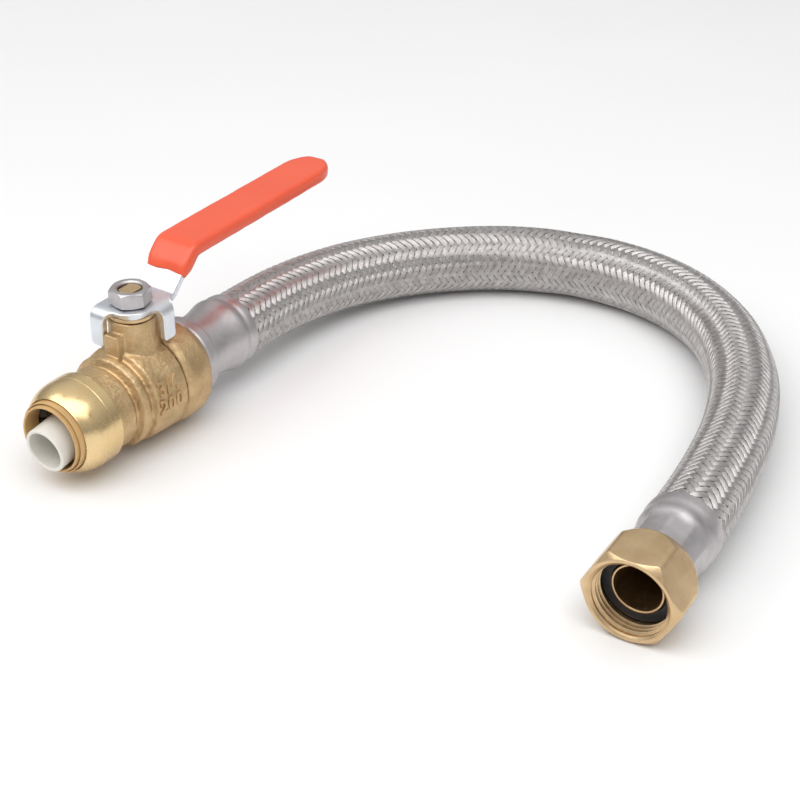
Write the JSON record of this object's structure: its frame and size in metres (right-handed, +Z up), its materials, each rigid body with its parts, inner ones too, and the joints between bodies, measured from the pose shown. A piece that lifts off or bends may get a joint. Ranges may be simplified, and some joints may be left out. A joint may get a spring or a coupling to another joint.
{
  "type": "braided supply line",
  "caption": "Push-to-connect ball valve with a lever, a stainless braided hose and a swivel nut, as a water supply line.",
  "frame": {"origin": "on the surface the line lies on, under the middle of the valve's length from its mouth to its lever's tip", "axes": "+Y along the valve from its mouth towards the hose, +Z up along the valve's stem, +X to the valve's right, towards the swivel nut"},
  "size_m": [0.2447, 0.2489, 0.0702],
  "materials": {
    "collar_brass": "polished brass",
    "cast_brass": "rough cast brass",
    "machined_brass": "machined brass",
    "chrome": "chrome-plated brass",
    "stainless": "satin stainless steel",
    "braid": "braided stainless wire",
    "zinc": "bright zinc-plated steel",
    "vinyl": "glossy dipped vinyl",
    "tan_plastic": "matte tan acetal",
    "white_plastic": "matte off-white plastic",
    "ptfe": "white PTFE",
    "rubber": "black EPDM rubber"
  },
  "bodies": {
    "valve": {"valve_body": "cast_brass", "end_cap": "cast_brass", "collar": "collar_brass", "grab_ring": "stainless", "o_ring_protector": "tan_plastic", "o_ring": "rubber", "seat_front": "ptfe", "seat_rear": "ptfe", "thrust_washer": "ptfe", "stem_packing": "ptfe", "gland": "machined_brass", "inlet_nipple": "machined_brass", "ferrule_valve_end": "stainless", "hose_liner": "rubber", "hose_braid": "braid", "ferrule_nut_end": "stainless", "tailpiece": "machined_brass", "gasket": "rubber"},
    "lever": {"lever": "zinc", "lever_grip": "vinyl", "lever_nut": "stainless", "stem": "machined_brass", "ball": "chrome"},
    "release_ring": {"release_ring": "tan_plastic"},
    "tube_liner": {"tube_liner": "white_plastic"},
    "swivel_nut": {"swivel_nut": "machined_brass"}
  },
  "joints": [
    {"name": "lever_turn", "type": "hinge", "parent": "valve", "child": "lever", "pos_m": [0, -0.0333, 0.0199], "axis": [0, 0, -1], "range_deg": [0, 90]},
    {"name": "release_ring_press", "type": "slide", "parent": "valve", "child": "release_ring", "axis": [0, 1, 0], "range_m": [0, 0.002]},
    {"name": "liner_spin", "type": "hinge", "parent": "valve", "child": "tube_liner", "pos_m": [0, -0.066, 0.0199], "axis": [0, 1, 0], "continuous": true},
    {"name": "swivel_nut_spin", "type": "hinge", "parent": "valve", "child": "swivel_nut", "pos_m": [0.2074, -0.0456, 0.01577], "axis": [0.0593, -0.9976, -0.0349], "continuous": true}
  ]
}
